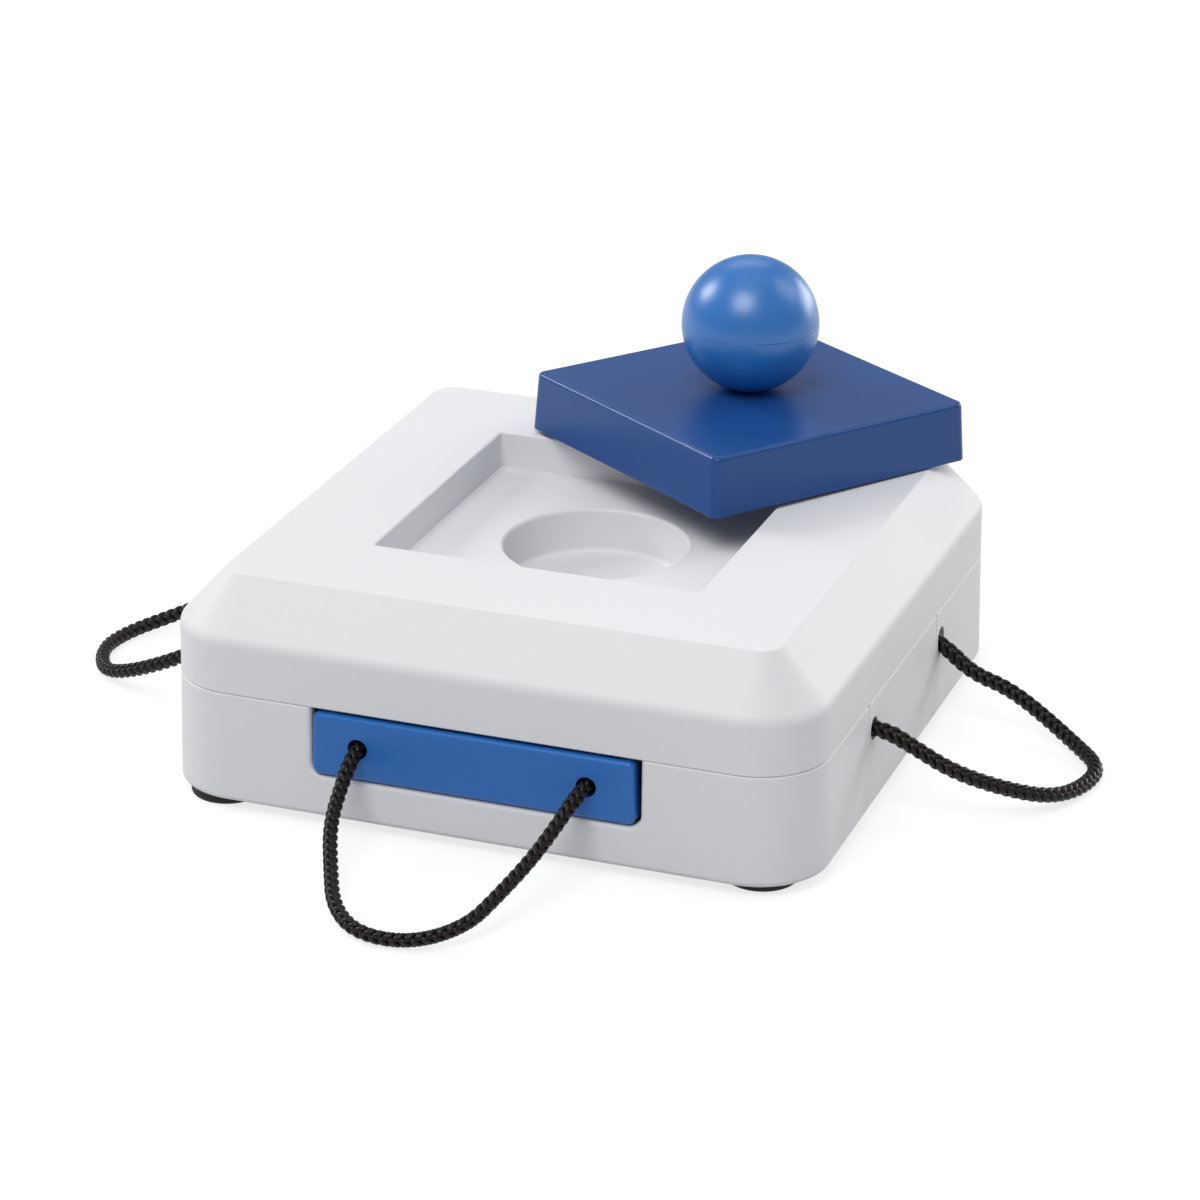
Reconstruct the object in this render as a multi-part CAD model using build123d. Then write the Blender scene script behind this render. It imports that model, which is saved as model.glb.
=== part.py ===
from build123d import *
from math import radians, tan
import os

# A dog's puzzle box: a white housing of two shells with a recess and a treat bowl on top,
# a blue drawer with a pull loop of cord, two more cord loops at the sides, and a lift-off
# lid with a ball knob that lies askew on the housing. Millimetres, +Z up, floor at z = 0,
# origin under the middle of the housing, drawer opening towards -Y.

# Housing
WALL = 2.2
BASE_Z = 2.1                # underside of the lower shell, held up by the feet
PART_Z = 24.4               # middle of the parting line between the shells
PART_GAP = 0.06
SHOULDER_Z = 35.2
TOP_Z = 45.4
BASE_HALF = 65.4            # half widths of the square outline, from the base up
PART_HALF = 65.0
SHOULDER_HALF = 64.8
TOP_HALF = 55.6
CORNER = 14.0               # plan radius of the walls' corners
BASE_ROUND = 1.2
SHOULDER_ROUND = 3.0
RIM_ROUND = 0.5             # outer edge of the top plane
EDGE_BREAK = 0.25           # small chamfer along the parting line
LIP = 1.0                   # the lower shell's locating lip
LIP_HEIGHT = 1.6
FIT = 0.2                   # clearance of lips and screws
BITE = 0.5                  # how far a rib or boss reaches into what carries it
RIB = 2.0

# Recess and bowl
RECESS_HALF = 33.2
RECESS_DEPTH = 7.5
RECESS_CORNER = 0.8
RECESS_ROUND = 0.4          # upper edge of the recess
BOWL_RADIUS = 18.25
BOWL_DEPTH = 9.1
BOWL_ROUND = 0.7            # rim of the bowl
BOWL_FLOOR_ROUND = 1.0
POCKET_WALL = 2.0

# Drawer and its opening
OPENING_HALF = 33.0
OPENING_Z = 10.7
OPENING_CORNER = 2.3
OPENING_ROUND = 1.0         # outer edge of the opening
DRAWER_X = -0.35            # the drawer lies to the left in its side play
FRONT_GAP = 0.3             # under the drawer
FRONT_BASE_HALF = 32.55
FRONT_TOP_HALF = 32.1
FRONT_TOP_Z = 23.75
FRONT_THICK = 2.8
FRONT_PROUD = 0.6           # how far the front stands out of the wall
FRONT_LOW_CORNER = 1.8
FRONT_HIGH_CORNER = 1.3
FRONT_ROUND = 1.1           # edge of the front's face
TRAY_HALF = 31.3
TRAY_WALL = 1.8
TRAY_DROP = 0.4             # the tray's walls end this far below the front's top edge
DRAWER_DEPTH = 78.0
TRAVEL = 60.0
TAB = 2.0                   # thickness of the stop tab
TAB_DROP = 3.0
STOP_DROP = 1.5             # the stop rib ends this far below the drawer
RUN = 0.5                   # running clearance of the tray
RAIL_X = 24.0
KEEPER_REACH = 20.0         # rear end of the ribs that hold the tray down
GUIDE_START = 12.0          # from the front wall to the guides' front ends

# Cords
CORD = 3.2                  # diameter of the braid
CORD_HOLE = 4.0
HOLE_X = 22.9               # holes in the drawer's front, from the drawer's middle
HOLE_Z = 17.6
SIDE_HOLE_WIDTH = 4.4       # holes in the side walls, upright ovals
SIDE_HOLES = [              # y, z and height of each
    (-23.2, 18.3, 4.5),
    (23.2, 17.8, 5.4),
]
SLIT = 0.25                 # slit beside a side hole, up to the edge of the shell
SLIT_AHEAD = 3.4            # from the hole's middle to the slit
SLIT_NOTCH = 0.4            # radius of the notch at its upper end
KNOT_RADIUS = 3.4
KNOT_LENGTH = 5.6
KNOT_BITE = 0.6             # how far the cord reaches into its knot

# Lid and knob
LID_X = 16.9
LID_Y = 43.7
LID_Z = 45.92               # the lid lies on the top plane, tipped back by about a degree
LID_TURN = (-1.0, 0.3, 55.2)
LID_BASE = 63.9
LID_TOP = 62.6
LID_HEIGHT = 12.3
LID_WALL = 2.0
LID_CORNER = 1.8
LID_TOP_ROUND = 0.9
LID_BASE_ROUND = 0.3
LID_INNER_CORNER = 1.0
LID_RIB = 1.6
LID_RIB_Z = 4.0
BALL_RADIUS = 14.0
BALL_FLAT = 3.2             # radius of the flat that the ball stands on
BALL_WALL = 2.2
BALL_SEAM = 0.04
SEAM_ROUND = 0.15           # edge of the lower half at the seam
RING_WALL = 1.4
RING_REACH = 2.0
WASHER_RADIUS = 3.6
WASHER_THICK = 0.8

# Feet, bosses and screws
FOOT_RADIUS = 7.2
FOOT_ROUND = 0.8
SCREW_AT = 54.2
BOSS_RADIUS = 4.2
SCREW_RADIUS = 1.45
SCREW_HOLE = 1.7            # clearance hole's radius
PILOT = 1.47                # radius of the hole that a screw bites into
HEAD_RADIUS = 2.9
HEAD_HEIGHT = 2.0
HEAD_SINK = 0.8             # how deep a head lies above the base's underside
CROSS_HALF = 2.2            # cross recess in a screw's head
CROSS_WIDTH = 0.7
CROSS_DEPTH = 1.0
SHELL_SCREW_TIP = 34.0
SCREW_SPARE = 1.5           # depth of a pilot hole beyond the screw's tip
KNOB_SCREW_REACH = 8.0      # above the lid's top

# Levels and places that follow from these
LOWER_TOP = PART_Z - PART_GAP / 2
UPPER_BASE = PART_Z + PART_GAP / 2
FLOOR_Z = BASE_Z + WALL
SLOPE = (TOP_Z - SHOULDER_Z) / (SHOULDER_HALF - TOP_HALF)
TOP_CORNER = CORNER - (PART_HALF - TOP_HALF)
SHOULDER_CORNER = CORNER - (PART_HALF - SHOULDER_HALF)
ROOF_Z = TOP_Z - WALL
EAVE_Z = SHOULDER_Z - 0.4 * WALL
RECESS_Z = TOP_Z - RECESS_DEPTH
BOWL_Z = RECESS_Z - BOWL_DEPTH
FRONT_BASE_Z = OPENING_Z + FRONT_GAP
TRAY_TOP_Z = FRONT_TOP_Z - TRAY_DROP
DRAWER_BACK = -PART_HALF + DRAWER_DEPTH
PANEL_BACK = FRONT_THICK - FRONT_PROUD - PART_HALF
GUIDE_X = TRAY_HALF + RUN + RIB / 2
HEAD_TOP_Z = BASE_Z + HEAD_SINK + HEAD_HEIGHT
BALL_Z = LID_HEIGHT + (BALL_RADIUS ** 2 - BALL_FLAT ** 2) ** 0.5
PAST = 1.0                  # how far a cut runs past a face
REACH = 2 * PART_HALF       # longer than anything that is cut

BOSSES = [(x, y) for x in (-SCREW_AT, SCREW_AT) for y in (-SCREW_AT, SCREW_AT)]
FEET = {                    # stuck on by hand, so not quite evenly
    "front_left": (-54.6, -56.5),
    "front_right": (53.5, -55.1),
    "rear_left": (-54.2, 54.2),
    "rear_right": (54.2, 54.2),
}

# Routes of the three loops, from the knot behind one hole to the knot behind the other
DRAWER_ROUTE = [
    (-23.4, -62.2, 18.0),
    (-23.5, -67.0, 17.0),
    (-23.4, -72.6, 13.5),
    (-22.0, -81.5, 9.4),
    (-18.0, -90.4, 5.6),
    (-13.4, -99.8, 2.7),
    (-6.0, -105.8, 1.6),
    (4.4, -105.6, 1.6),
    (12.6, -99.8, 3.6),
    (15.7, -91.8, 6.7),
    (18.9, -82.9, 10.6),
    (20.7, -74.6, 14.2),
    (21.9, -67.8, 17.1),
    (22.6, -62.2, 18.0),
]
RIGHT_ROUTE = [
    (62.2, -23.2, 18.6),
    (67.3, -22.7, 18.1),
    (72.6, -22.2, 15.2),
    (80.2, -21.1, 10.8),
    (88.9, -16.2, 6.5),
    (96.8, -10.0, 3.2),
    (100.8, -0.4, 1.6),
    (101.9, 9.5, 1.6),
    (95.3, 16.9, 2.2),
    (86.5, 21.5, 6.0),
    (79.3, 23.3, 9.4),
    (71.8, 23.0, 11.7),
    (66.0, 22.9, 16.8),
    (62.2, 23.2, 18.4),
]
LEFT_ROUTE = [
    (-62.2, -23.2, 18.6),
    (-67.1, -23.1, 17.5),
    (-74.5, -24.2, 13.7),
    (-83.8, -24.6, 9.0),
    (-93.6, -22.5, 4.6),
    (-101.4, -17.6, 1.8),
    (-106.8, -7.5, 1.6),
    (-105.9, 2.0, 1.6),
    (-99.9, 10.7, 2.7),
    (-91.6, 16.3, 5.6),
    (-82.9, 19.8, 9.3),
    (-73.7, 21.8, 13.5),
    (-67.2, 22.7, 17.0),
    (-62.2, 23.2, 18.6),
]


def box_between(low, high):
    size = [b - a for a, b in zip(low, high)]
    return Pos(*low) * Box(*size, align=(Align.MIN, Align.MIN, Align.MIN))


def drum(radius, z_low, z_high, x=0.0, y=0.0):
    upright = (Align.CENTER, Align.CENTER, Align.MIN)
    return Pos(x, y, z_low) * Cylinder(radius, z_high - z_low, align=upright)


def tower(levels):
    """Straight-sided loft through rounded squares given as (z, half width, corner radius)."""
    squares = []
    for z, half, radius in levels:
        squares.append(Plane.XY.offset(z) * RectangleRounded(2 * half, 2 * half, radius))
    return loft(squares, ruled=True)


def edges_at(shape, z, spread=0.05):
    boxes = [(edge, edge.bounding_box()) for edge in shape.edges()]
    return [edge for edge, box in boxes if abs(box.min.Z - z) < spread and abs(box.max.Z - z) < spread]


def wall_half(z):
    """Half width of the drafted outer walls at height z, below and above the parting line."""
    if z < UPPER_BASE:
        return BASE_HALF + (PART_HALF - BASE_HALF) * (z - BASE_Z) / (LOWER_TOP - BASE_Z)
    return PART_HALF + (SHOULDER_HALF - PART_HALF) * (z - UPPER_BASE) / (SHOULDER_Z - UPPER_BASE)


def roof_half(z, inset):
    """Half width at height z of the sloping roof, moved inwards by the given inset."""
    return SHOULDER_HALF - inset - (z - EAVE_Z) / SLOPE


def upper_outside():
    body = tower([
        (UPPER_BASE, PART_HALF - EDGE_BREAK, CORNER - EDGE_BREAK),
        (UPPER_BASE + EDGE_BREAK, wall_half(UPPER_BASE + EDGE_BREAK), CORNER),
        (SHOULDER_Z, SHOULDER_HALF, SHOULDER_CORNER),
        (TOP_Z, TOP_HALF, TOP_CORNER),
    ])
    body = fillet(edges_at(body, SHOULDER_Z), SHOULDER_ROUND)
    return fillet(edges_at(body, TOP_Z), RIM_ROUND)


def pocket(shell):
    """Adds the square recess and the bowl, with their walls, to the upper shell."""
    outer = RECESS_HALF + POCKET_WALL
    shell += box_between((-outer, -outer, RECESS_Z - POCKET_WALL), (outer, outer, ROOF_Z + BITE))
    shell += drum(BOWL_RADIUS + POCKET_WALL, BOWL_Z - POCKET_WALL, RECESS_Z - POCKET_WALL + BITE)
    recess = box_between((-RECESS_HALF, -RECESS_HALF, RECESS_Z), (RECESS_HALF, RECESS_HALF, TOP_Z + PAST))
    shell -= fillet(recess.edges().filter_by(Axis.Z), RECESS_CORNER)
    bowl = drum(BOWL_RADIUS, BOWL_Z, RECESS_Z + PAST)
    shell -= fillet(edges_at(bowl, BOWL_Z), BOWL_FLOOR_ROUND)
    rims = [edge for edge in edges_at(shell, RECESS_Z) if edge.geom_type == GeomType.CIRCLE]
    shell = fillet([edge for edge in rims if edge.radius > BOWL_RADIUS / 2], BOWL_ROUND)
    brow = []
    for edge in edges_at(shell, TOP_Z):
        if max(abs(edge.center().X), abs(edge.center().Y)) < RECESS_HALF + BITE:
            brow.append(edge)
    return fillet(brow, RECESS_ROUND)


def upper_shell():
    shell = upper_outside() - tower([
        (UPPER_BASE - PAST, PART_HALF - WALL, CORNER - WALL),
        (EAVE_Z, SHOULDER_HALF - WALL, CORNER - WALL),
        (ROOF_Z, roof_half(ROOF_Z, WALL), TOP_CORNER),
    ])
    rebate_half = PART_HALF - WALL + LIP + FIT
    rebate_corner = CORNER - WALL + LIP
    shell -= tower([
        (UPPER_BASE - PAST, rebate_half, rebate_corner),
        (PART_Z + LIP_HEIGHT + FIT, rebate_half, rebate_corner),
    ])
    shell = pocket(shell)
    # Space that ribs and bosses may fill, ending inside the walls
    inset = WALL / 2
    inside = tower([
        (UPPER_BASE - WALL, PART_HALF - inset, CORNER - inset),
        (EAVE_Z, SHOULDER_HALF - inset, CORNER - inset),
        (ROOF_Z + BITE, roof_half(ROOF_Z + BITE, inset), TOP_CORNER),
    ])
    # Ribs that hold the tray down, over both of its sides
    for side in (-1, 1):
        rib_x = side * (TRAY_HALF - TRAY_WALL / 2)
        left, right = rib_x - RIB / 2, rib_x + RIB / 2
        rib = box_between((left, PANEL_BACK + RUN, TRAY_TOP_Z + RUN),
                          (right, KEEPER_REACH, RECESS_Z - BITE))
        rib += box_between((left, -PART_HALF, PART_Z + LIP_HEIGHT + FIT + RUN),
                           (right, PANEL_BACK + 2 * RUN, RECESS_Z - BITE))
        shell += rib & inside
    for x, y in BOSSES:
        shell += drum(BOSS_RADIUS, PART_Z + FIT / 2, TOP_Z, x, y) & inside
    for x, y in BOSSES:
        shell -= drum(PILOT, PART_Z - PAST, SHELL_SCREW_TIP + SCREW_SPARE, x, y)
    return shell


def drawer_opening():
    """What the drawer's opening takes out of the front wall."""
    low = (-OPENING_HALF, -BASE_HALF - PAST, OPENING_Z)
    high = (OPENING_HALF, -PART_HALF + 2 * WALL, PART_Z + 2 * WALL)
    body = box_between(low, high)
    bottom = [edge for edge in body.edges().filter_by(Axis.Y) if edge.center().Z < OPENING_Z + PAST]
    return fillet(bottom, OPENING_CORNER)


def side_hole(side, y, z, height):
    """Oval hole for the cord of a side loop, and the slit ahead of it that opens at the shell's edge."""
    oval = Pos(y, z) * SlotOverall(height, SIDE_HOLE_WIDTH, rotation=90)
    cut = extrude(Plane.YZ.offset(side * PART_HALF) * oval, 2 * WALL, both=True)
    slit_y = y - SLIT_AHEAD
    x_low, x_high = sorted((side * (PART_HALF - 2 * WALL), side * (PART_HALF + 2 * WALL)))
    cut += box_between((x_low, slit_y - SLIT / 2, z), (x_high, slit_y + SLIT / 2, PART_Z + 2 * WALL))
    return cut + Pos(side * PART_HALF, slit_y, LOWER_TOP) * Rot(0, 90, 0) * Cylinder(SLIT_NOTCH, 4 * WALL)


def lower_shell():
    outside = tower([
        (BASE_Z, BASE_HALF, CORNER),
        (LOWER_TOP - EDGE_BREAK, wall_half(LOWER_TOP - EDGE_BREAK), CORNER),
        (LOWER_TOP, PART_HALF - EDGE_BREAK, CORNER - EDGE_BREAK),
    ])
    outside = fillet(edges_at(outside, BASE_Z), BASE_ROUND)
    cavity = tower([
        (FLOOR_Z, PART_HALF - WALL, CORNER - WALL),
        (PART_Z + 2 * WALL, PART_HALF - WALL, CORNER - WALL),
    ])
    lip = tower([
        (LOWER_TOP - LIP, PART_HALF - WALL + LIP, CORNER - WALL + LIP),
        (PART_Z + LIP_HEIGHT, PART_HALF - WALL + LIP, CORNER - WALL + LIP),
    ])
    opening = drawer_opening()
    wall = outside - opening
    mouth = []
    for edge in wall.edges():
        middle = edge.center()
        on_face = middle.Y < -PART_HALF - 0.01 and abs(middle.X) < OPENING_HALF + 0.1
        if on_face and OPENING_Z - 0.1 < middle.Z < LOWER_TOP - EDGE_BREAK - 0.1:
            mouth.append(edge)
    shell = fillet(mouth, OPENING_ROUND) + (lip - opening) - cavity
    for side in (-1, 1):
        for y, z, height in SIDE_HOLES:
            shell -= side_hole(side, y, z, height)
    # Rails under the tray, guides beside it, a wall behind it and the rib that stops it
    root_z = FLOOR_Z - WALL / 2
    stop_y = DRAWER_BACK - 2 * TAB - TRAVEL
    guide_top = LOWER_TOP - RIB
    outer = GUIDE_X + RIB / 2
    for side in (-1, 1):
        rail_x, guide_x = side * RAIL_X, side * GUIDE_X
        shell += box_between((rail_x - RIB / 2, -PART_HALF + WALL / 2, root_z),
                             (rail_x + RIB / 2, DRAWER_BACK + RUN, OPENING_Z))
        shell += box_between((guide_x - RIB / 2, -PART_HALF + GUIDE_START, root_z),
                             (guide_x + RIB / 2, DRAWER_BACK + 2 * RUN, guide_top))
    shell += box_between((-outer, DRAWER_BACK + RUN, root_z), (outer, DRAWER_BACK + RUN + RIB, guide_top))
    shell += box_between((-RAIL_X, stop_y - RIB, root_z), (RAIL_X, stop_y, OPENING_Z - STOP_DROP))
    # Screw bosses with counterbores for the heads
    for x, y in BOSSES:
        shell += drum(BOSS_RADIUS, root_z, PART_Z - FIT / 2, x, y)
    for x, y in BOSSES:
        shell -= drum(HEAD_RADIUS + FIT, 0.0, HEAD_TOP_Z, x, y)
        shell -= drum(SCREW_HOLE, 0.0, PART_Z + PAST, x, y)
    return shell


def drawer_front():
    """Front panel, a little narrower towards its top edge, with a rounded face."""
    outline = Polyline((-FRONT_BASE_HALF, FRONT_BASE_Z), (FRONT_BASE_HALF, FRONT_BASE_Z),
                       (FRONT_TOP_HALF, FRONT_TOP_Z), (-FRONT_TOP_HALF, FRONT_TOP_Z), close=True)
    panel = extrude(Plane.XZ.offset(PART_HALF + FRONT_PROUD) * make_face(outline), -FRONT_THICK)
    middle_z = (FRONT_BASE_Z + FRONT_TOP_Z) / 2
    for low, radius in ((True, FRONT_LOW_CORNER), (False, FRONT_HIGH_CORNER)):
        corners = []
        for edge in panel.edges():
            middle = edge.center()
            across = abs(middle.Y - PANEL_BACK + FRONT_THICK / 2) < 0.1
            if across and abs(middle.X) > FRONT_TOP_HALF - 0.1 and (middle.Z < middle_z) == low:
                corners.append(edge)
        panel = fillet(corners, radius)
    return fillet(panel.faces().sort_by(Axis.Y)[0].edges(), FRONT_ROUND)


def drawer():
    tray = box_between((-TRAY_HALF, PANEL_BACK - BITE, FRONT_BASE_Z), (TRAY_HALF, DRAWER_BACK, TRAY_TOP_Z))
    inner = TRAY_HALF - TRAY_WALL
    tray -= box_between((-inner, PANEL_BACK - PAST, FRONT_BASE_Z + TRAY_WALL),
                        (inner, DRAWER_BACK - TRAY_WALL, PART_Z + PAST))
    body = drawer_front() + tray
    # Tab under the rear end that meets the lower shell's stop rib when the drawer is out
    tab_half = RAIL_X - RIB - RUN
    body += box_between((-tab_half, DRAWER_BACK - 2 * TAB, FRONT_BASE_Z - TAB_DROP),
                        (tab_half, DRAWER_BACK - TAB, FRONT_BASE_Z + BITE))
    for side in (-1, 1):
        hole = Rot(90, 0, 0) * Cylinder(CORD_HOLE / 2, 3 * FRONT_THICK)
        body -= Pos(side * HOLE_X, -PART_HALF, HOLE_Z) * hole
    return Pos(DRAWER_X, 0, 0) * body


def cord_tube(name, route):
    """Round tube along straight runs joined by the largest arcs that the runs allow."""
    points = [Vector(*point) for point in route]
    runs = [end - start for start, end in zip(points, points[1:])]
    radii = []
    for before, after in zip(runs, runs[1:]):
        half_turn = radians(before.get_angle(after)) / 2
        radii.append(0.45 * min(before.length, after.length) / tan(half_turn))
    path = FilletPolyline(*points, radius=radii)
    section = Plane(path @ 0, z_dir=path % 0) * Circle(CORD / 2)
    tube = sweep(section, path=path)
    print(name, "length", round(path.length, 1), "radii", [round(radius, 1) for radius in radii],
          "volume ratio", round(tube.volume / (path.length * section.area), 3))
    return tube


def knot(end, out):
    """Stopper knot, an egg-shaped lump that the cord's end reaches into, inwards from the wall."""
    centre = Vector(*end) - Vector(*out) * (KNOT_LENGTH / 2 - KNOT_BITE)
    lump = scale(Sphere(KNOT_RADIUS), (1, 1, KNOT_LENGTH / 2 / KNOT_RADIUS))
    return Plane(centre, z_dir=out) * lump


def write_loop(name, route, out, ends):
    """Writes a loop's tube and the knots on its two ends, which the tube is cut out of."""
    tube = cord_tube(name, route)
    write(name, tube)
    for end, place in zip((route[0], route[-1]), ends):
        write(f"{name}_{place}_knot", knot(end, out) - tube)


def place_lid(shape):
    return Pos(LID_X, LID_Y, LID_Z) * Rot(*LID_TURN) * shape


def lid_block(base, top, height, corner):
    """Square block that narrows from base to top."""
    upper = Plane.XY.offset(height) * RectangleRounded(top, top, corner)
    return loft([RectangleRounded(base, base, corner), upper], ruled=True)


def lid_cap():
    outside = lid_block(LID_BASE, LID_TOP, LID_HEIGHT, LID_CORNER)
    outside = fillet(edges_at(outside, LID_HEIGHT), LID_TOP_ROUND)
    outside = fillet(edges_at(outside, 0.0), LID_BASE_ROUND)
    inner_top = LID_TOP - 2 * LID_WALL
    ceiling = LID_HEIGHT - LID_WALL
    cap = outside - lid_block(LID_BASE - 2 * LID_WALL, inner_top, ceiling, LID_INNER_CORNER)
    rib_half = inner_top / 2 + BITE
    rib = box_between((-rib_half, -LID_RIB / 2, LID_RIB_Z), (rib_half, LID_RIB / 2, ceiling + BITE))
    cap += rib
    cap += Rot(0, 0, 90) * rib
    cap += drum(BOSS_RADIUS, LID_RIB_Z, ceiling + BITE)
    cap -= drum(SCREW_HOLE, 0.0, LID_HEIGHT + PAST)
    return place_lid(cap)


def ball(radius):
    return Pos(0, 0, BALL_Z) * Sphere(radius)


def slab(z_low, z_high):
    return box_between((-REACH, -REACH, z_low), (REACH, REACH, z_high))


def knob_lower_half():
    """Lower half of the ball, a bowl with a boss for the screw and a flat to stand on."""
    below = slab(LID_HEIGHT, BALL_Z - BALL_SEAM / 2)
    half = ball(BALL_RADIUS) & below
    half = fillet(edges_at(half, BALL_Z - BALL_SEAM / 2), SEAM_ROUND) - ball(BALL_RADIUS - BALL_WALL)
    boss_top = LID_HEIGHT + KNOB_SCREW_REACH + SCREW_SPARE
    half += drum(BOSS_RADIUS, LID_HEIGHT, boss_top) & ball(BALL_RADIUS) & below
    half -= drum(PILOT, 0.0, LID_HEIGHT + KNOB_SCREW_REACH + BITE)
    return place_lid(half)


def knob_upper_half():
    """Upper half of the ball, a dome with a ring that plugs into the lower half."""
    above = slab(BALL_Z + BALL_SEAM / 2, BALL_Z + REACH)
    half = (ball(BALL_RADIUS) & above) - ball(BALL_RADIUS - BALL_WALL)
    ring_radius = BALL_RADIUS - BALL_WALL
    ring = drum(ring_radius, BALL_Z - RING_REACH, BALL_Z + RING_REACH)
    ring -= drum(ring_radius - RING_WALL, BALL_Z - REACH, BALL_Z + REACH)
    plug = ring & ball(ring_radius - FIT / 2)
    root = ring & ball(BALL_RADIUS - BALL_WALL / 2) & above
    return place_lid(half + plug + root)


def cross_head_screw(under_head, tip):
    """Pan-head screw that points up, its head below the level under_head."""
    base = under_head - HEAD_HEIGHT
    head = drum(HEAD_RADIUS, base, under_head)
    slot = box_between((-CROSS_HALF, -CROSS_WIDTH / 2, base - PAST),
                       (CROSS_HALF, CROSS_WIDTH / 2, base + CROSS_DEPTH))
    head -= slot
    head -= Rot(0, 0, 90) * slot
    return head + drum(SCREW_RADIUS, under_head - BITE, tip)


def knob_washer():
    ring = drum(WASHER_RADIUS, LID_RIB_Z - WASHER_THICK, LID_RIB_Z)
    return place_lid(ring - drum(SCREW_HOLE - FIT / 2, 0.0, LID_HEIGHT))


def knob_screw():
    return place_lid(cross_head_screw(LID_RIB_Z - WASHER_THICK, LID_HEIGHT + KNOB_SCREW_REACH))


def foot(x, y):
    return fillet(edges_at(drum(FOOT_RADIUS, 0.0, BASE_Z, x, y), 0.0), FOOT_ROUND)


def shell_screws():
    screw = cross_head_screw(HEAD_TOP_Z, SHELL_SCREW_TIP)
    return Compound(children=[Pos(x, y, 0) * screw for x, y in BOSSES])


def write(name, shape):
    export_step(shape, f"parts/{name}.step")


os.makedirs("parts", exist_ok=True)
write("upper_shell", upper_shell())
write("lower_shell", lower_shell())
write("shell_screws", shell_screws())
for place, (x, y) in FEET.items():
    write(f"foot_{place}", foot(x, y))
write("drawer", drawer())
write_loop("drawer_cord", DRAWER_ROUTE, (0, -1, 0), ("left", "right"))
write_loop("right_cord", RIGHT_ROUTE, (1, 0, 0), ("front", "rear"))
write_loop("left_cord", LEFT_ROUTE, (-1, 0, 0), ("front", "rear"))
write("lid_cap", lid_cap())
write("knob_lower_half", knob_lower_half())
write("knob_upper_half", knob_upper_half())
write("knob_screw", knob_screw())
write("knob_washer", knob_washer())
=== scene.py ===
import math

import bpy
import numpy as np
from mathutils import Matrix, Vector


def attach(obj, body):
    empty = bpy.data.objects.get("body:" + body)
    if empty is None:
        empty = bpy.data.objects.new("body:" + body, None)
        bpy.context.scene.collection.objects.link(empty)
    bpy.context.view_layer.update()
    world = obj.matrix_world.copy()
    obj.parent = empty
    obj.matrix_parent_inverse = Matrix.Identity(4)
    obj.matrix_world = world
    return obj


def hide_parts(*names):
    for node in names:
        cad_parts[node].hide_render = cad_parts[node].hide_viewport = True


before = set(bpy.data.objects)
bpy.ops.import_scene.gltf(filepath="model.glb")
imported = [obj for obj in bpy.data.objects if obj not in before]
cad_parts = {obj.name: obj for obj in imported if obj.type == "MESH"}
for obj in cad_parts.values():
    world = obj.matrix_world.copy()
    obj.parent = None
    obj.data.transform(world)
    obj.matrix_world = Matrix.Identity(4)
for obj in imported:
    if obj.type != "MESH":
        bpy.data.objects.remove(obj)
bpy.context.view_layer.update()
mm = 0.001


# sRGB hex to linear RGBA: a power curve with a straight foot
def srgb(hexText):
    parts = [int(hexText[i:i + 2], 16) / 255 for i in (1, 3, 5)]
    linear = [p / 12.92 if p <= 0.04045 else ((p + 0.055) / 1.055) ** 2.4 for p in parts]
    return (*linear, 1.0)


# One node: settings are its properties, links feed its sockets, values are its sockets' numbers
def addNode(tree, kind, settings=None, links=None, values=None):
    node = tree.nodes.new(kind)
    for name, value in (settings or {}).items():
        setattr(node, name, value)
    for name, value in (values or {}).items():
        node.inputs[name].default_value = value
    for name, source in (links or {}).items():
        tree.links.new(source, node.inputs[name])
    return node


def newMaterial(name):
    material = bpy.data.materials.new(name)
    material.use_nodes = True
    material.node_tree.nodes.clear()
    return material, material.node_tree


# Gives CAD nodes a material
def dress(names, material):
    for name in names:
        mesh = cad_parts[name].data
        mesh.materials.clear()
        mesh.materials.append(material)


# A mesh object at the origin from an array of points and arrays of quads or triangles
def meshFrom(name, points, faceArrays, material, smooth=True):
    mesh = bpy.data.meshes.new(name)
    faces = [face for part in faceArrays for face in part.tolist()]
    mesh.from_pydata(points.tolist(), [], faces)
    mesh.polygons.foreach_set("use_smooth", np.full(len(faces), smooth))
    mesh.materials.append(material)
    piece = bpy.data.objects.new(name, mesh)
    bpy.context.scene.collection.objects.link(piece)
    return piece


view = {
    "place": (0.25299, -0.68448, 0.33367),      # metres
    "azimuth": 20.21,           # degrees, right of straight in front
    "elevation": 22.88,         # looking down
    "roll": 0.26,
    "lens": 119.27,             # millimetres, as the sensor's width is
    "sensor": 36.0,
    "nearest": 0.01,            # metres from the lens at which it begins to see
}


# The camera turns by its roll, then dips, then swings round to its azimuth
def makeCamera():
    camera = bpy.data.cameras.new("camera")
    camera.lens = view["lens"]
    camera.sensor_width = view["sensor"]
    camera.clip_start = view["nearest"]
    holder = bpy.data.objects.new("camera", camera)
    bpy.context.scene.collection.objects.link(holder)
    turn = (Matrix.Rotation(math.radians(view["azimuth"]), 4, "Z")
            @ Matrix.Rotation(math.radians(90 - view["elevation"]), 4, "X")
            @ Matrix.Rotation(math.radians(view["roll"]), 4, "Z"))
    holder.matrix_world = Matrix.Translation(view["place"]) @ turn
    bpy.context.scene.camera = holder


makeCamera()
print("camera set")

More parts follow.
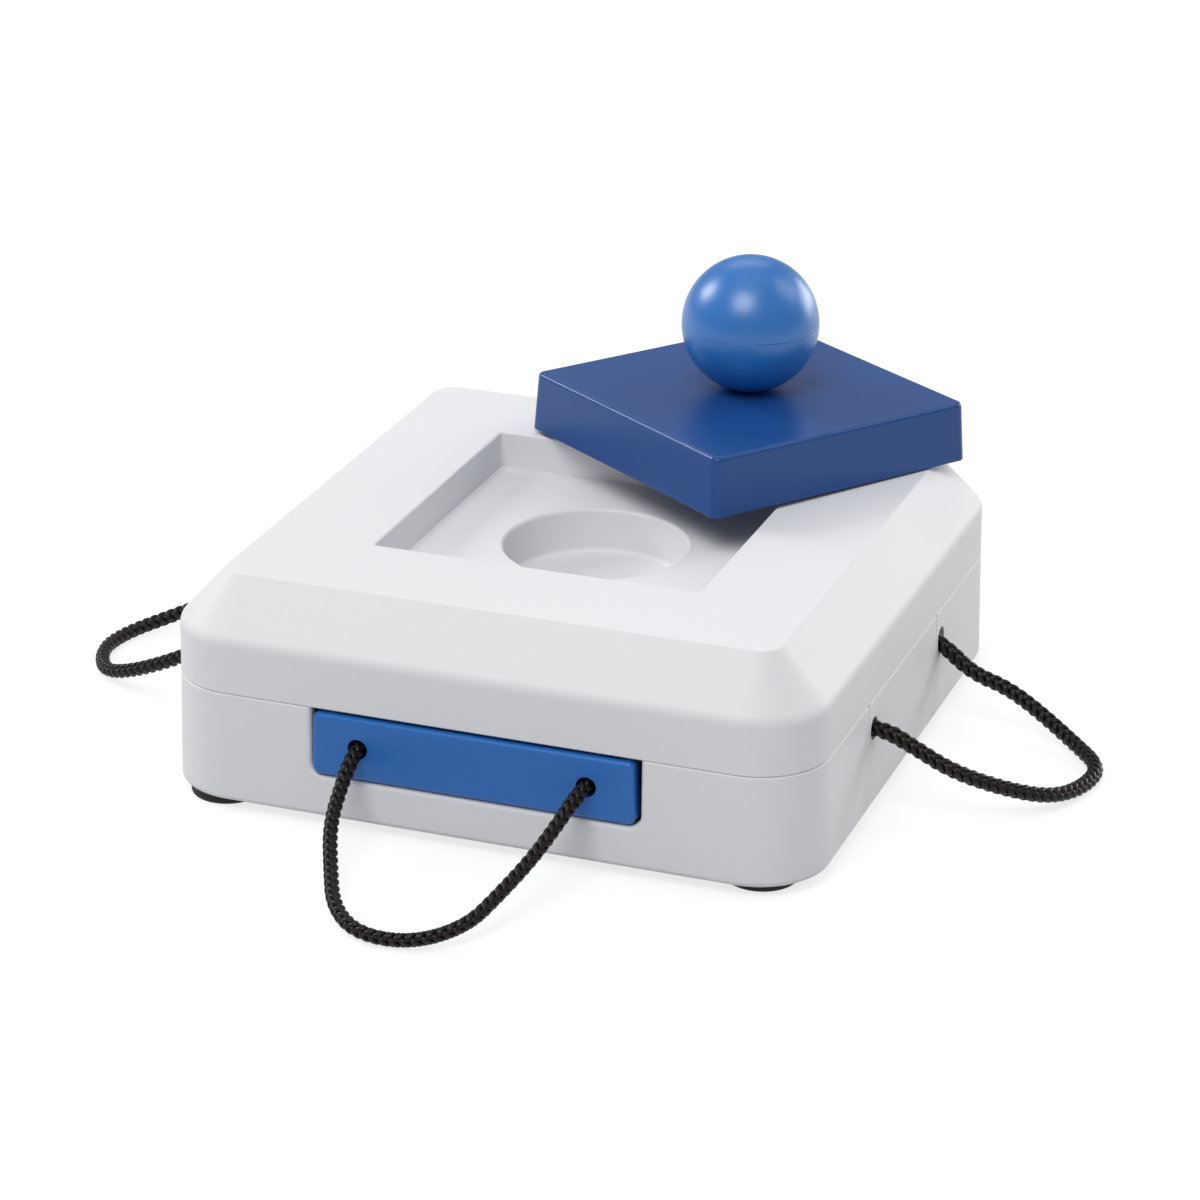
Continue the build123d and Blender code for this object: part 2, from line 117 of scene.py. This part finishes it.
# Eight-strand polyester braid, four strands each way, two over and two under
cord = {
    "diameter": 3.2 * mm,
    "lay": 7.6 * mm,            # length of one full turn of a strand
    "strandsEachWay": 4,
    "strandWidth": 1.3 * mm,
    "strandThick": 0.9 * mm,
    "weave": 0.27 * mm,         # how far a strand rises and dips as it passes over and under
    "weaveHold": 1.35,          # over 1, so that a strand stays up or down for a while
    "core": 1.7 * mm,           # diameter of the dark core between the strands
    "flare": 0.07,              # how much fuller the braid is just outside its holes
    "flareAt": 7.0 * mm,
    "flareSpread": 3.0 * mm,
    "mapShift": 0.37,           # half lays from one strand's map to the next, so they differ
    "rowsPerLay": 22,
    "sides": 10,
    "curveOrder": 3,
    "stepsPerSpan": 32,
}

# A braid is a little thinner where it has been pulled long
loops = {
    "drawer_cord": {"body": "drawer", "knots": ("left", "right"), "fullness": 0.9},
    "right_cord": {"body": "housing", "knots": ("front", "rear"), "fullness": 1.0},
    "left_cord": {"body": "housing", "knots": ("front", "rear"), "fullness": 0.94},
}

# Control points, in metres, from the knot behind one hole to the knot behind the other
routes = {
    "drawer_cord": [
        (-0.0234, -0.0622, 0.0180),
        (-0.0235, -0.0670, 0.0170),
        (-0.0234, -0.0726, 0.0135),
        (-0.0220, -0.0815, 0.0094),
        (-0.0180, -0.0904, 0.0056),
        (-0.0134, -0.0998, 0.0027),
        (-0.0060, -0.1058, 0.0016),
        (0.0044, -0.1056, 0.0016),
        (0.0126, -0.0998, 0.0036),
        (0.0157, -0.0918, 0.0067),
        (0.0189, -0.0829, 0.0106),
        (0.0207, -0.0746, 0.0142),
        (0.0219, -0.0678, 0.0171),
        (0.0226, -0.0622, 0.0180),
    ],
    "right_cord": [
        (0.0622, -0.0232, 0.0186),
        (0.0673, -0.0227, 0.0181),
        (0.0726, -0.0222, 0.0152),
        (0.0802, -0.0211, 0.0108),
        (0.0889, -0.0162, 0.0065),
        (0.0968, -0.0100, 0.0032),
        (0.1008, -0.0004, 0.0016),
        (0.1019, 0.0095, 0.0016),
        (0.0953, 0.0169, 0.0022),
        (0.0865, 0.0215, 0.0060),
        (0.0793, 0.0233, 0.0094),
        (0.0718, 0.0230, 0.0117),
        (0.0660, 0.0229, 0.0168),
        (0.0622, 0.0232, 0.0184),
    ],
    "left_cord": [
        (-0.0622, -0.0232, 0.0186),
        (-0.0671, -0.0231, 0.0175),
        (-0.0745, -0.0242, 0.0137),
        (-0.0838, -0.0246, 0.0090),
        (-0.0936, -0.0225, 0.0046),
        (-0.1014, -0.0176, 0.0018),
        (-0.1068, -0.0075, 0.0016),
        (-0.1059, 0.0020, 0.0016),
        (-0.0999, 0.0107, 0.0027),
        (-0.0916, 0.0163, 0.0056),
        (-0.0829, 0.0198, 0.0093),
        (-0.0737, 0.0218, 0.0135),
        (-0.0672, 0.0227, 0.0170),
        (-0.0622, 0.0232, 0.0186),
    ],
}


# Evenly spaced points on the smooth curve that has a route's points as its control points,
# and the length of the curve up to each
def routeLine(name):
    curve = bpy.data.curves.new(name + "_route", "CURVE")
    curve.dimensions = "3D"
    curve.resolution_u = cord["stepsPerSpan"]
    spline = curve.splines.new("NURBS")
    spline.points.add(len(routes[name]) - 1)
    for point, place in zip(spline.points, routes[name]):
        point.co = (*place, 1.0)
    spline.order_u = cord["curveOrder"]
    spline.use_endpoint_u = True
    holder = bpy.data.objects.new(name + "_route", curve)
    bpy.context.scene.collection.objects.link(holder)
    bpy.context.view_layer.update()
    line = bpy.data.meshes.new_from_object(holder)
    places = np.empty(len(line.vertices) * 3)
    line.vertices.foreach_get("co", places)
    bpy.data.objects.remove(holder)
    bpy.data.curves.remove(curve)
    bpy.data.meshes.remove(line)
    places = places.reshape(-1, 3)
    reach = np.r_[0, np.cumsum(np.linalg.norm(np.diff(places, axis=0), axis=1))]
    rows = int(round(reach[-1] / cord["lay"] * cord["rowsPerLay"])) + 1
    even = np.linspace(0, reach[-1], rows)
    return np.stack([np.interp(even, reach, places[:, k]) for k in range(3)], axis=1), even


# Two normals to the line at each point, at right angles and carried along it without twist
def carriedNormals(line):
    along = np.gradient(line, axis=0)
    along /= np.linalg.norm(along, axis=1)[:, None]
    side = np.empty_like(along)
    start = np.cross(along[0], (0.0, 0.0, 1.0))
    side[0] = start / np.linalg.norm(start)
    for i in range(1, len(line)):
        carried = side[i - 1] - along[i] * (side[i - 1] @ along[i])
        side[i] = carried / np.linalg.norm(carried)
    return side, np.cross(along, side)


# Quads and end caps of a closed tube: rows rings of sides points each, then the two cap centres
def tubeFaces(rows, sides):
    row, col = np.meshgrid(np.arange(rows - 1), np.arange(sides), indexing="ij")
    ahead = (col + 1) % sides
    quads = np.stack([row * sides + col, row * sides + ahead,
                      (row + 1) * sides + ahead, (row + 1) * sides + col], axis=-1).reshape(-1, 4)
    here = np.arange(sides)
    there = (here + 1) % sides
    last = (rows - 1) * sides
    start = np.stack([np.full(sides, rows * sides), there, here], axis=-1)
    end = np.stack([np.full(sides, rows * sides + 1), last + here, last + there], axis=-1)
    return quads, np.concatenate([start, end])


# One strand: its angle is +-2 pi times length over lay, plus its phase, and its distance from
# the line swings twice a turn by the weave, so that it passes over two and under two strands.
# Its section is an ellipse. Returns its centre line and its rings.
def strandRings(line, reach, side, up, full, way, phase):
    middle = cord["diameter"] / 2 - cord["strandThick"] / 2 - cord["weave"]
    angle = 2 * math.pi * (way * reach / cord["lay"] + phase)
    swing = np.clip(cord["weaveHold"] * way * np.cos(2 * angle), -1, 1)
    outward = np.cos(angle)[:, None] * side + np.sin(angle)[:, None] * up
    centre = line + ((middle + cord["weave"] * swing) * full)[:, None] * outward
    heading = np.gradient(centre, axis=0)
    heading /= np.linalg.norm(heading, axis=1)[:, None]
    broad = np.cross(outward, heading)
    broad /= np.linalg.norm(broad, axis=1)[:, None]
    thick = np.cross(heading, broad)
    around = np.linspace(0, 2 * math.pi, cord["sides"], endpoint=False)
    across = (np.cos(around) * cord["strandWidth"] / 2)[None, :, None] * broad[:, None]
    through = (np.sin(around) * cord["strandThick"] / 2)[None, :, None] * thick[:, None]
    return centre, centre[:, None] + (across + through) * full[:, None, None]


# The core: a circle carried along the line
def coreRings(line, side, up):
    around = np.linspace(0, 2 * math.pi, cord["sides"], endpoint=False)
    circle = (np.cos(around)[None, :, None] * side[:, None]
              + np.sin(around)[None, :, None] * up[:, None])
    return line, line[:, None] + circle * cord["core"] / 2


# The strands of both ways and the core, each a closed tube, in one mesh. A tube's map runs once
# round its section and along in half lays. Strands lie whole turns apart on it, so that a crest
# is a crest on all of them.
def braidedCord(name, material):
    line, reach = routeLine(name)
    side, up = carriedNormals(line)
    each, sides, rows = cord["strandsEachWay"], cord["sides"], len(line)
    fromEnd = np.minimum(reach, reach[-1] - reach)
    swell = np.exp(-((fromEnd - cord["flareAt"]) / cord["flareSpread"]) ** 2)
    full = loops[name]["fullness"] + cord["flare"] * swell
    tubes, shifts = [], []
    for way in (1, -1):
        for k in range(each):
            phase = (k + (0.5 if way < 0 else 0)) / each
            tubes.append(strandRings(line, reach, side, up, full, way, phase))
            shifts.append((k * 2 + (way < 0), k * cord["mapShift"]))
    tubes.append(coreRings(line, side, up))
    shifts.append((0, 0))
    quads, caps = tubeFaces(rows, sides)
    tubeMap = np.stack([quads % sides / sides, reach[quads // sides] / cord["lay"] * 2], axis=-1)
    tubeMap[:, 1:3, 0] += np.where(tubeMap[:, 1:3, 0] < tubeMap[:, :1, 0], 1, 0)
    starts = np.arange(len(tubes)) * (rows * sides + 2)
    points = np.concatenate([np.concatenate([rings.reshape(-1, 3), centre[:1], centre[-1:]])
                             for centre, rings in tubes])
    faces = [start + quads for start in starts] + [start + caps for start in starts]
    piece = meshFrom(name + "_braid", points, faces, material)
    quadMap = np.concatenate([tubeMap + shift for shift in shifts]).reshape(-1, 2)
    capMap = np.zeros((len(tubes) * caps.size, 2))
    layer = piece.data.uv_layers.new(name="strands")
    layer.data.foreach_set("uv", np.concatenate([quadMap, capMap]).ravel())
    return piece, line, reach[-1]


# Spun-dyed black polyester yarn, braided: dull. Its colour carries a painted highlight, a soft
# sheen on the crests of the strands, and painted shade on the flanks where they dip. Real
# filaments are about 0.02 mm apart. These are drawn coarser, and uneven along their length, so
# that they show.
yarn = {
    "filamentGap": 0.157 * mm,
    "slubLength": 1.27 * mm,
    "depth": 0.06 * mm,
    "relief": 0.35,
    "paintedHighlightFrom": 0.6,           # height on a strand's section, 0 at its flanks and 1 on its crest
    # painted shade: the near-black colour of the flanks where the strands dip
    "paintedShadeColour": "#040202",
    "paintedShadeUpTo": 0.1,           # share of the sheen up to which the yarn has its flank's colour
    # painted highlight: the lighter brown-grey colour of the strands' crests
    "paintedHighlightColour": "#2b1f1d",
    "paintedHighlightColourAt": 0.65,
    "roughness": 0.34,
    "specular": 0.25,
}


# The painted highlight in the yarn's colour grows with the sine of the turn round the section,
# times the filaments' noise; below it the colour is the painted shade of the flanks
def makeBraidMaterial():
    material, tree = newMaterial("polyester_braid_black")
    strandRound = math.pi * (cord["strandWidth"] + cord["strandThick"]) / 2
    filamentsRound = round(strandRound / yarn["filamentGap"])
    slubsAlong = round(cord["lay"] / 2 / yarn["slubLength"])
    strands = addNode(tree, "ShaderNodeUVMap", {"uv_map": "strands"})
    stretch = addNode(tree, "ShaderNodeMapping", links={"Vector": strands.outputs["UV"]},
                      values={"Scale": (filamentsRound, slubsAlong, 1.0)})
    filaments = addNode(tree, "ShaderNodeTexNoise", links={"Vector": stretch.outputs["Vector"]},
                        values={"Scale": 1.0, "Detail": 2.0})
    split = addNode(tree, "ShaderNodeSeparateXYZ", links={"Vector": strands.outputs["UV"]})
    turned = addNode(tree, "ShaderNodeMath", {"operation": "MULTIPLY"},
                     {0: split.outputs["X"]}, {1: 2 * math.pi})
    height = addNode(tree, "ShaderNodeMath", {"operation": "SINE"}, {0: turned.outputs[0]})
    # where on each strand's section the painted highlight lies: its outward crest
    paintedHighlightMask = addNode(tree, "ShaderNodeMapRange", links={"Value": height.outputs[0]},
                    values={"From Min": yarn["paintedHighlightFrom"], "From Max": 1.0})
    lit = addNode(tree, "ShaderNodeMath", {"operation": "MULTIPLY"},
                  {0: paintedHighlightMask.outputs["Result"], 1: filaments.outputs["Fac"]})
    # colour from the painted shade of the flanks to the painted highlight of the crests
    shade = addNode(tree, "ShaderNodeValToRGB", links={"Fac": lit.outputs[0]})
    dark, bright = shade.color_ramp.elements
    dark.position, dark.color = yarn["paintedShadeUpTo"], srgb(yarn["paintedShadeColour"])
    bright.position, bright.color = yarn["paintedHighlightColourAt"], srgb(yarn["paintedHighlightColour"])
    raised = addNode(tree, "ShaderNodeBump", links={"Height": filaments.outputs["Fac"]},
                     values={"Strength": yarn["relief"], "Distance": yarn["depth"]})
    bsdf = addNode(tree, "ShaderNodeBsdfPrincipled",
                   links={"Base Color": shade.outputs["Color"],
                          "Normal": raised.outputs["Normal"]},
                   values={"Roughness": yarn["roughness"],
                           "Specular IOR Level": yarn["specular"]})
    addNode(tree, "ShaderNodeOutputMaterial", links={"Surface": bsdf.outputs["BSDF"]})
    return material


braidMaterial = makeBraidMaterial()
for name, loop in loops.items():
    piece, line, length = braidedCord(name, braidMaterial)
    knots = [f"{name}_{end}_knot" for end in loop["knots"]]
    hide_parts(name)
    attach(piece, loop["body"])
    dress(knots, braidMaterial)
    print(name, "length", round(length, 4), "faces", len(piece.data.polygons))

# The fine spark-eroded skin that a mould leaves on plastic
mouldSkin = {"grain": 0.35 * mm, "depth": 0.05 * mm}

# Injection-moulded ABS: one even colour and a broad, soft gloss. The white has the dullest
# skin, and the ball comes from a polished mould and shines most.
plastics = {
    "abs_white_satin": {"nodes": ["upper_shell", "lower_shell"], "colour": "#e4e4e5",
                        "roughness": 0.52, "specular": 0.3, "relief": 0.12},
    "abs_mid_blue": {"nodes": ["drawer"], "colour": "#1e68b6",
                     "roughness": 0.36, "specular": 0.45, "relief": 0.15},
    "abs_navy_blue": {"nodes": ["lid_cap"], "colour": "#1b4888",
                      "roughness": 0.28, "specular": 0.36, "relief": 0.12},
    "abs_bright_blue": {"nodes": ["knob_lower_half", "knob_upper_half"], "colour": "#1f70bd",
                        "roughness": 0.33, "specular": 0.9, "relief": 0.05},
}


def makeAbs(name):
    settings = plastics[name]
    material, tree = newMaterial(name)
    place = addNode(tree, "ShaderNodeTexCoord")
    grain = addNode(tree, "ShaderNodeTexNoise", links={"Vector": place.outputs["Object"]},
                    values={"Scale": 1 / mouldSkin["grain"], "Detail": 3.0})
    raised = addNode(tree, "ShaderNodeBump", links={"Height": grain.outputs["Fac"]},
                     values={"Strength": settings["relief"], "Distance": mouldSkin["depth"]})
    bsdf = addNode(tree, "ShaderNodeBsdfPrincipled", links={"Normal": raised.outputs["Normal"]},
                   values={"Base Color": srgb(settings["colour"]),
                           "Roughness": settings["roughness"],
                           "Specular IOR Level": settings["specular"]})
    addNode(tree, "ShaderNodeOutputMaterial", links={"Surface": bsdf.outputs["BSDF"]})
    return material


for name, settings in plastics.items():
    dress(settings["nodes"], makeAbs(name))
print("plastics done")

# Moulded nitrile rubber, matt and slightly powdery
rubber = {"nodes": ["foot_front_left", "foot_front_right", "foot_rear_left", "foot_rear_right"],
          "colour": "#17110f", "roughness": 0.75, "grain": 0.3 * mm, "depth": 0.05 * mm,
          "relief": 0.3}


def makeRubber():
    material, tree = newMaterial("nitrile_rubber_black")
    place = addNode(tree, "ShaderNodeTexCoord")
    grain = addNode(tree, "ShaderNodeTexNoise", links={"Vector": place.outputs["Object"]},
                    values={"Scale": 1 / rubber["grain"], "Detail": 2.0})
    raised = addNode(tree, "ShaderNodeBump", links={"Height": grain.outputs["Fac"]},
                     values={"Strength": rubber["relief"], "Distance": rubber["depth"]})
    bsdf = addNode(tree, "ShaderNodeBsdfPrincipled", links={"Normal": raised.outputs["Normal"]},
                   values={"Base Color": srgb(rubber["colour"]), "Roughness": rubber["roughness"]})
    addNode(tree, "ShaderNodeOutputMaterial", links={"Surface": bsdf.outputs["BSDF"]})
    return material


# Bright zinc plating, smooth and slightly grey
zinc = {"nodes": ["shell_screws", "knob_screw", "knob_washer"],
        "colour": "#b9bcc0", "roughness": 0.32}


def makeZinc():
    material, tree = newMaterial("zinc_plated_steel")
    bsdf = addNode(tree, "ShaderNodeBsdfPrincipled",
                   values={"Base Color": srgb(zinc["colour"]), "Metallic": 1.0,
                           "Roughness": zinc["roughness"]})
    addNode(tree, "ShaderNodeOutputMaterial", links={"Surface": bsdf.outputs["BSDF"]})
    return material


dress(rubber["nodes"], makeRubber())
dress(zinc["nodes"], makeZinc())
print("rubber and metal done")

# Pale board. To the lens and in reflections it glows almost white and takes a part of the light
# that falls on it, so that it keeps a soft shadow; otherwise it is light grey card.
floor = {"half": 6.0, "colour": "#c6c6c8", "glow": 0.75, "keeps": 0.3}


def makeFloor():
    half = floor["half"]
    material, tree = newMaterial("pale_board")
    ray = addNode(tree, "ShaderNodeLightPath")
    straight = addNode(tree, "ShaderNodeMath", {"operation": "MAXIMUM"},
                       {0: ray.outputs["Is Camera Ray"], 1: ray.outputs["Is Glossy Ray"]})
    seen = addNode(tree, "ShaderNodeMath", {"operation": "MAXIMUM"},
                   {0: straight.outputs[0], 1: ray.outputs["Is Transmission Ray"]})
    board = addNode(tree, "ShaderNodeBsdfDiffuse", values={"Color": srgb(floor["colour"])})
    kept = addNode(tree, "ShaderNodeBsdfDiffuse", values={"Color": (floor["keeps"],) * 3 + (1.0,)})
    glow = addNode(tree, "ShaderNodeEmission", values={"Strength": floor["glow"]})
    bright = addNode(tree, "ShaderNodeAddShader", links={0: kept.outputs[0], 1: glow.outputs[0]})
    both = addNode(tree, "ShaderNodeMixShader",
                   links={0: seen.outputs[0], 1: board.outputs[0], 2: bright.outputs[0]})
    addNode(tree, "ShaderNodeOutputMaterial", links={"Surface": both.outputs[0]})
    points = np.array([(-half, -half, 0), (half, -half, 0), (half, half, 0), (-half, half, 0)])
    meshFrom("floor", points, [np.array([[0, 1, 2, 3]])], material, smooth=False)


# Even light of a pale room
world = {"colour": "#f8faff", "strength": 0.36}


def makeWorld():
    studio = bpy.data.worlds.new("studio")
    bpy.context.scene.world = studio
    studio.use_nodes = True
    tree = studio.node_tree
    tree.nodes.clear()
    room = addNode(tree, "ShaderNodeBackground",
                   values={"Color": srgb(world["colour"]), "Strength": world["strength"]})
    addNode(tree, "ShaderNodeOutputWorld", links={"Surface": room.outputs["Background"]})


# Soft rectangular lamps around a point over the floor, all white: the direction that each stands
# in, its distance, width and height in metres, and its power in watts
lampAim = (0, 0, 0.03)
lampColour = "#ffffff"
lamps = {
    "window_left": {"towards": (-0.84, 0.10, 0.53), "distance": 1.6, "size": (0.55, 0.55),
                    "power": 9.2},
    "backdrop_right": {"towards": (0.51, 0.86, 0.17), "distance": 1.6, "size": (0.9, 0.5),
                       "power": 7.9},
    "right_high": {"towards": (0.60, 0.45, 0.65), "distance": 1.6, "size": (0.8, 0.8),
                   "power": 3.6},
    "front_high": {"towards": (0.0, -0.57, 0.81), "distance": 1.6, "size": (0.8, 0.8),
                   "power": 12.0},
    "back_high": {"towards": (-0.27, 0.70, 0.66), "distance": 1.6, "size": (0.9, 0.5),
                  "power": 1.9},
    "overhead": {"towards": (0.0, 0.1, 1.0), "distance": 1.4, "size": (1.0, 1.0),
                 "power": 1.2},
}


def makeLamp(name):
    settings = lamps[name]
    lamp = bpy.data.lights.new(name, "AREA")
    lamp.shape = "RECTANGLE"
    lamp.size, lamp.size_y = settings["size"]
    lamp.energy = settings["power"]
    lamp.color = srgb(lampColour)[:3]
    holder = bpy.data.objects.new(name, lamp)
    bpy.context.scene.collection.objects.link(holder)
    away = Vector(settings["towards"]).normalized()
    holder.location = away * settings["distance"] + Vector(lampAim)
    holder.rotation_euler = (-away).to_track_quat("-Z", "Y").to_euler()


bpy.context.scene.view_settings.view_transform = "Standard"
makeFloor()
makeWorld()
for name in lamps:
    makeLamp(name)
print("light set")
